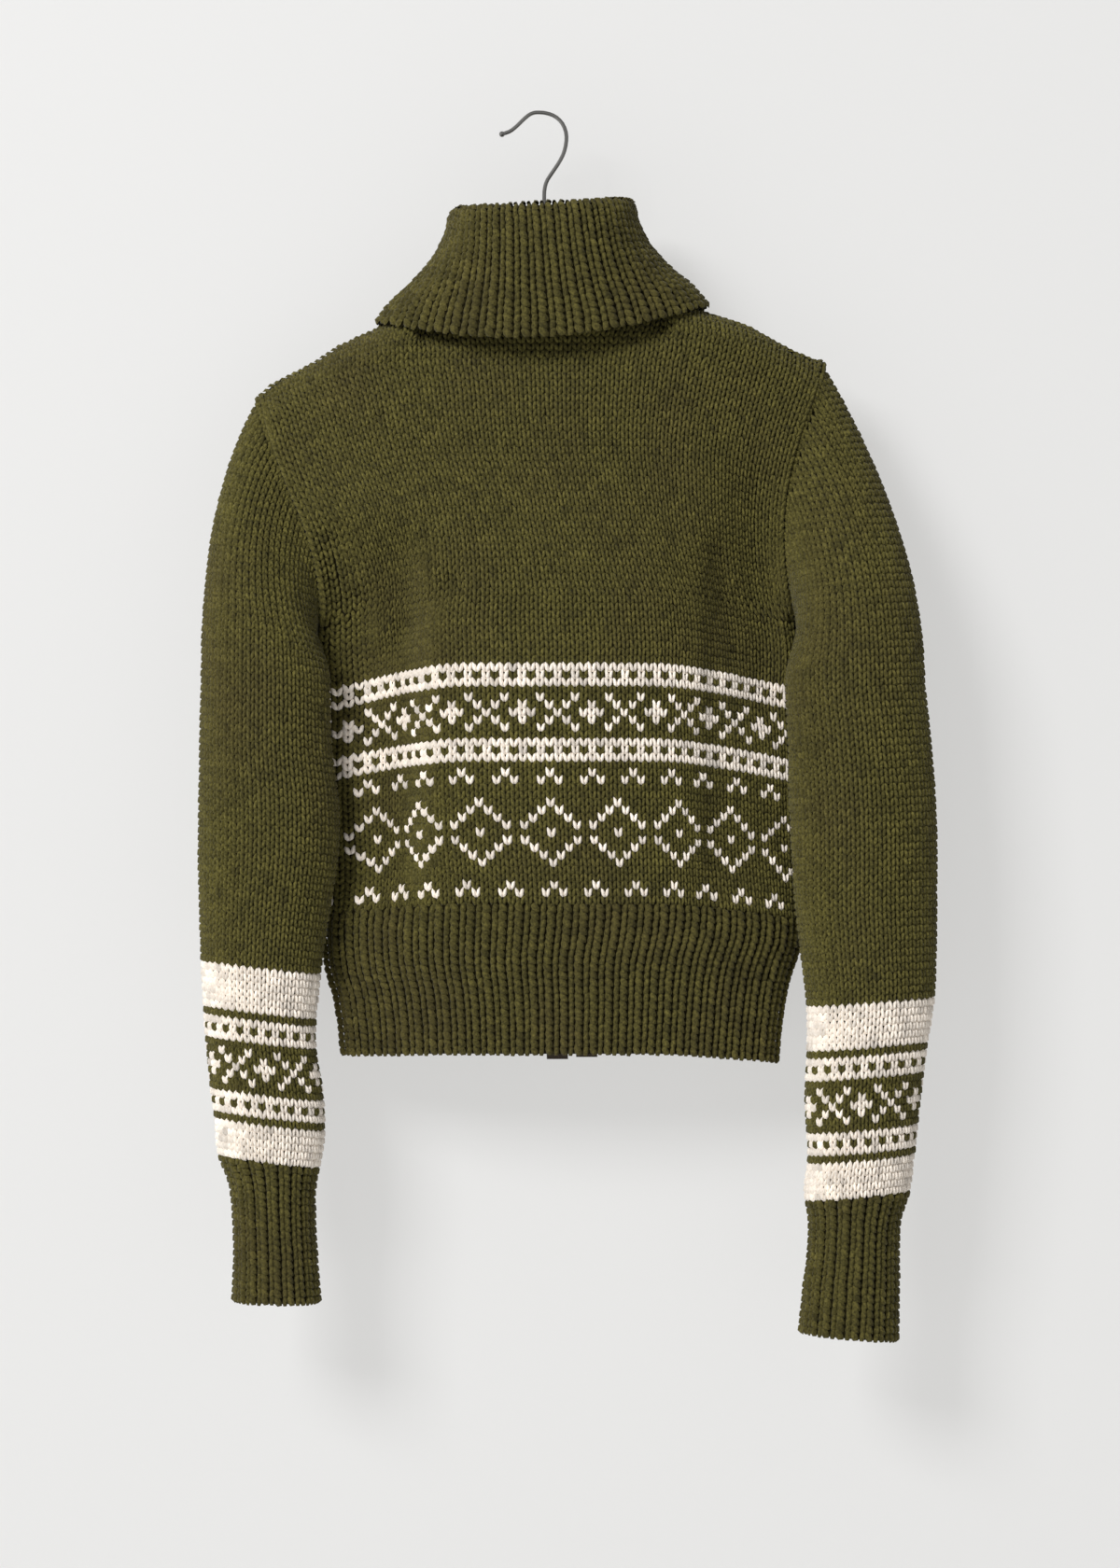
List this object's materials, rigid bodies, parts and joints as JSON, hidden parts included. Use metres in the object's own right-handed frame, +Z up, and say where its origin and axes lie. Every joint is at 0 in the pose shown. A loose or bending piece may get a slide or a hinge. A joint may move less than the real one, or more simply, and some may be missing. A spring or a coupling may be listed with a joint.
{
  "type": "zip cardigan on a hanger",
  "caption": "Chunky knitted zip cardigan with a tall turned-down ribbed collar, patterned bands, ribbed hem and cuffs, hanging on a wooden hanger with a thin steel hook.",
  "frame": {"origin": "inside top of the hanger's hook, where a rail or pin carries it", "axes": "+Z up, +X across the shoulders to the right as seen from behind, +Y out of the garment's front; the back faces -Y"},
  "size_m": [0.5127, 0.1168, 0.8595],
  "materials": {
    "green_wool": "thick olive wool in stocking stitch, with cream bands",
    "green_rib": "olive wool in one by one rib",
    "zip_tape": "dark woven tape",
    "metal": "bright steel wire and zip metal",
    "hanger_wood": "satin varnish"
  },
  "bodies": {
    "garment": {"back": "green_wool", "front_left": "green_wool", "front_right": "green_wool", "sleeve_left": "green_wool", "sleeve_right": "green_wool", "back_hem_rib": "green_rib", "front_hem_rib_left": "green_rib", "front_hem_rib_right": "green_rib", "cuff_left": "green_rib", "cuff_right": "green_rib", "collar": "green_rib", "zip_tape_left": "zip_tape", "zip_tape_right": "zip_tape", "zip_chain": "metal", "zip_slider": "metal", "zip_bottom_stop": "metal", "hanger_arms": "hanger_wood", "hanger_hook": "metal"},
    "pull_tab": {"zip_pull": "metal"}
  },
  "joints": [
    {"name": "zip_pull_swing", "type": "hinge", "parent": "garment", "child": "pull_tab", "pos_m": [0.00996, 0.03125, -0.252], "axis": [1, 0, 0], "range_deg": [0, 170]}
  ]
}
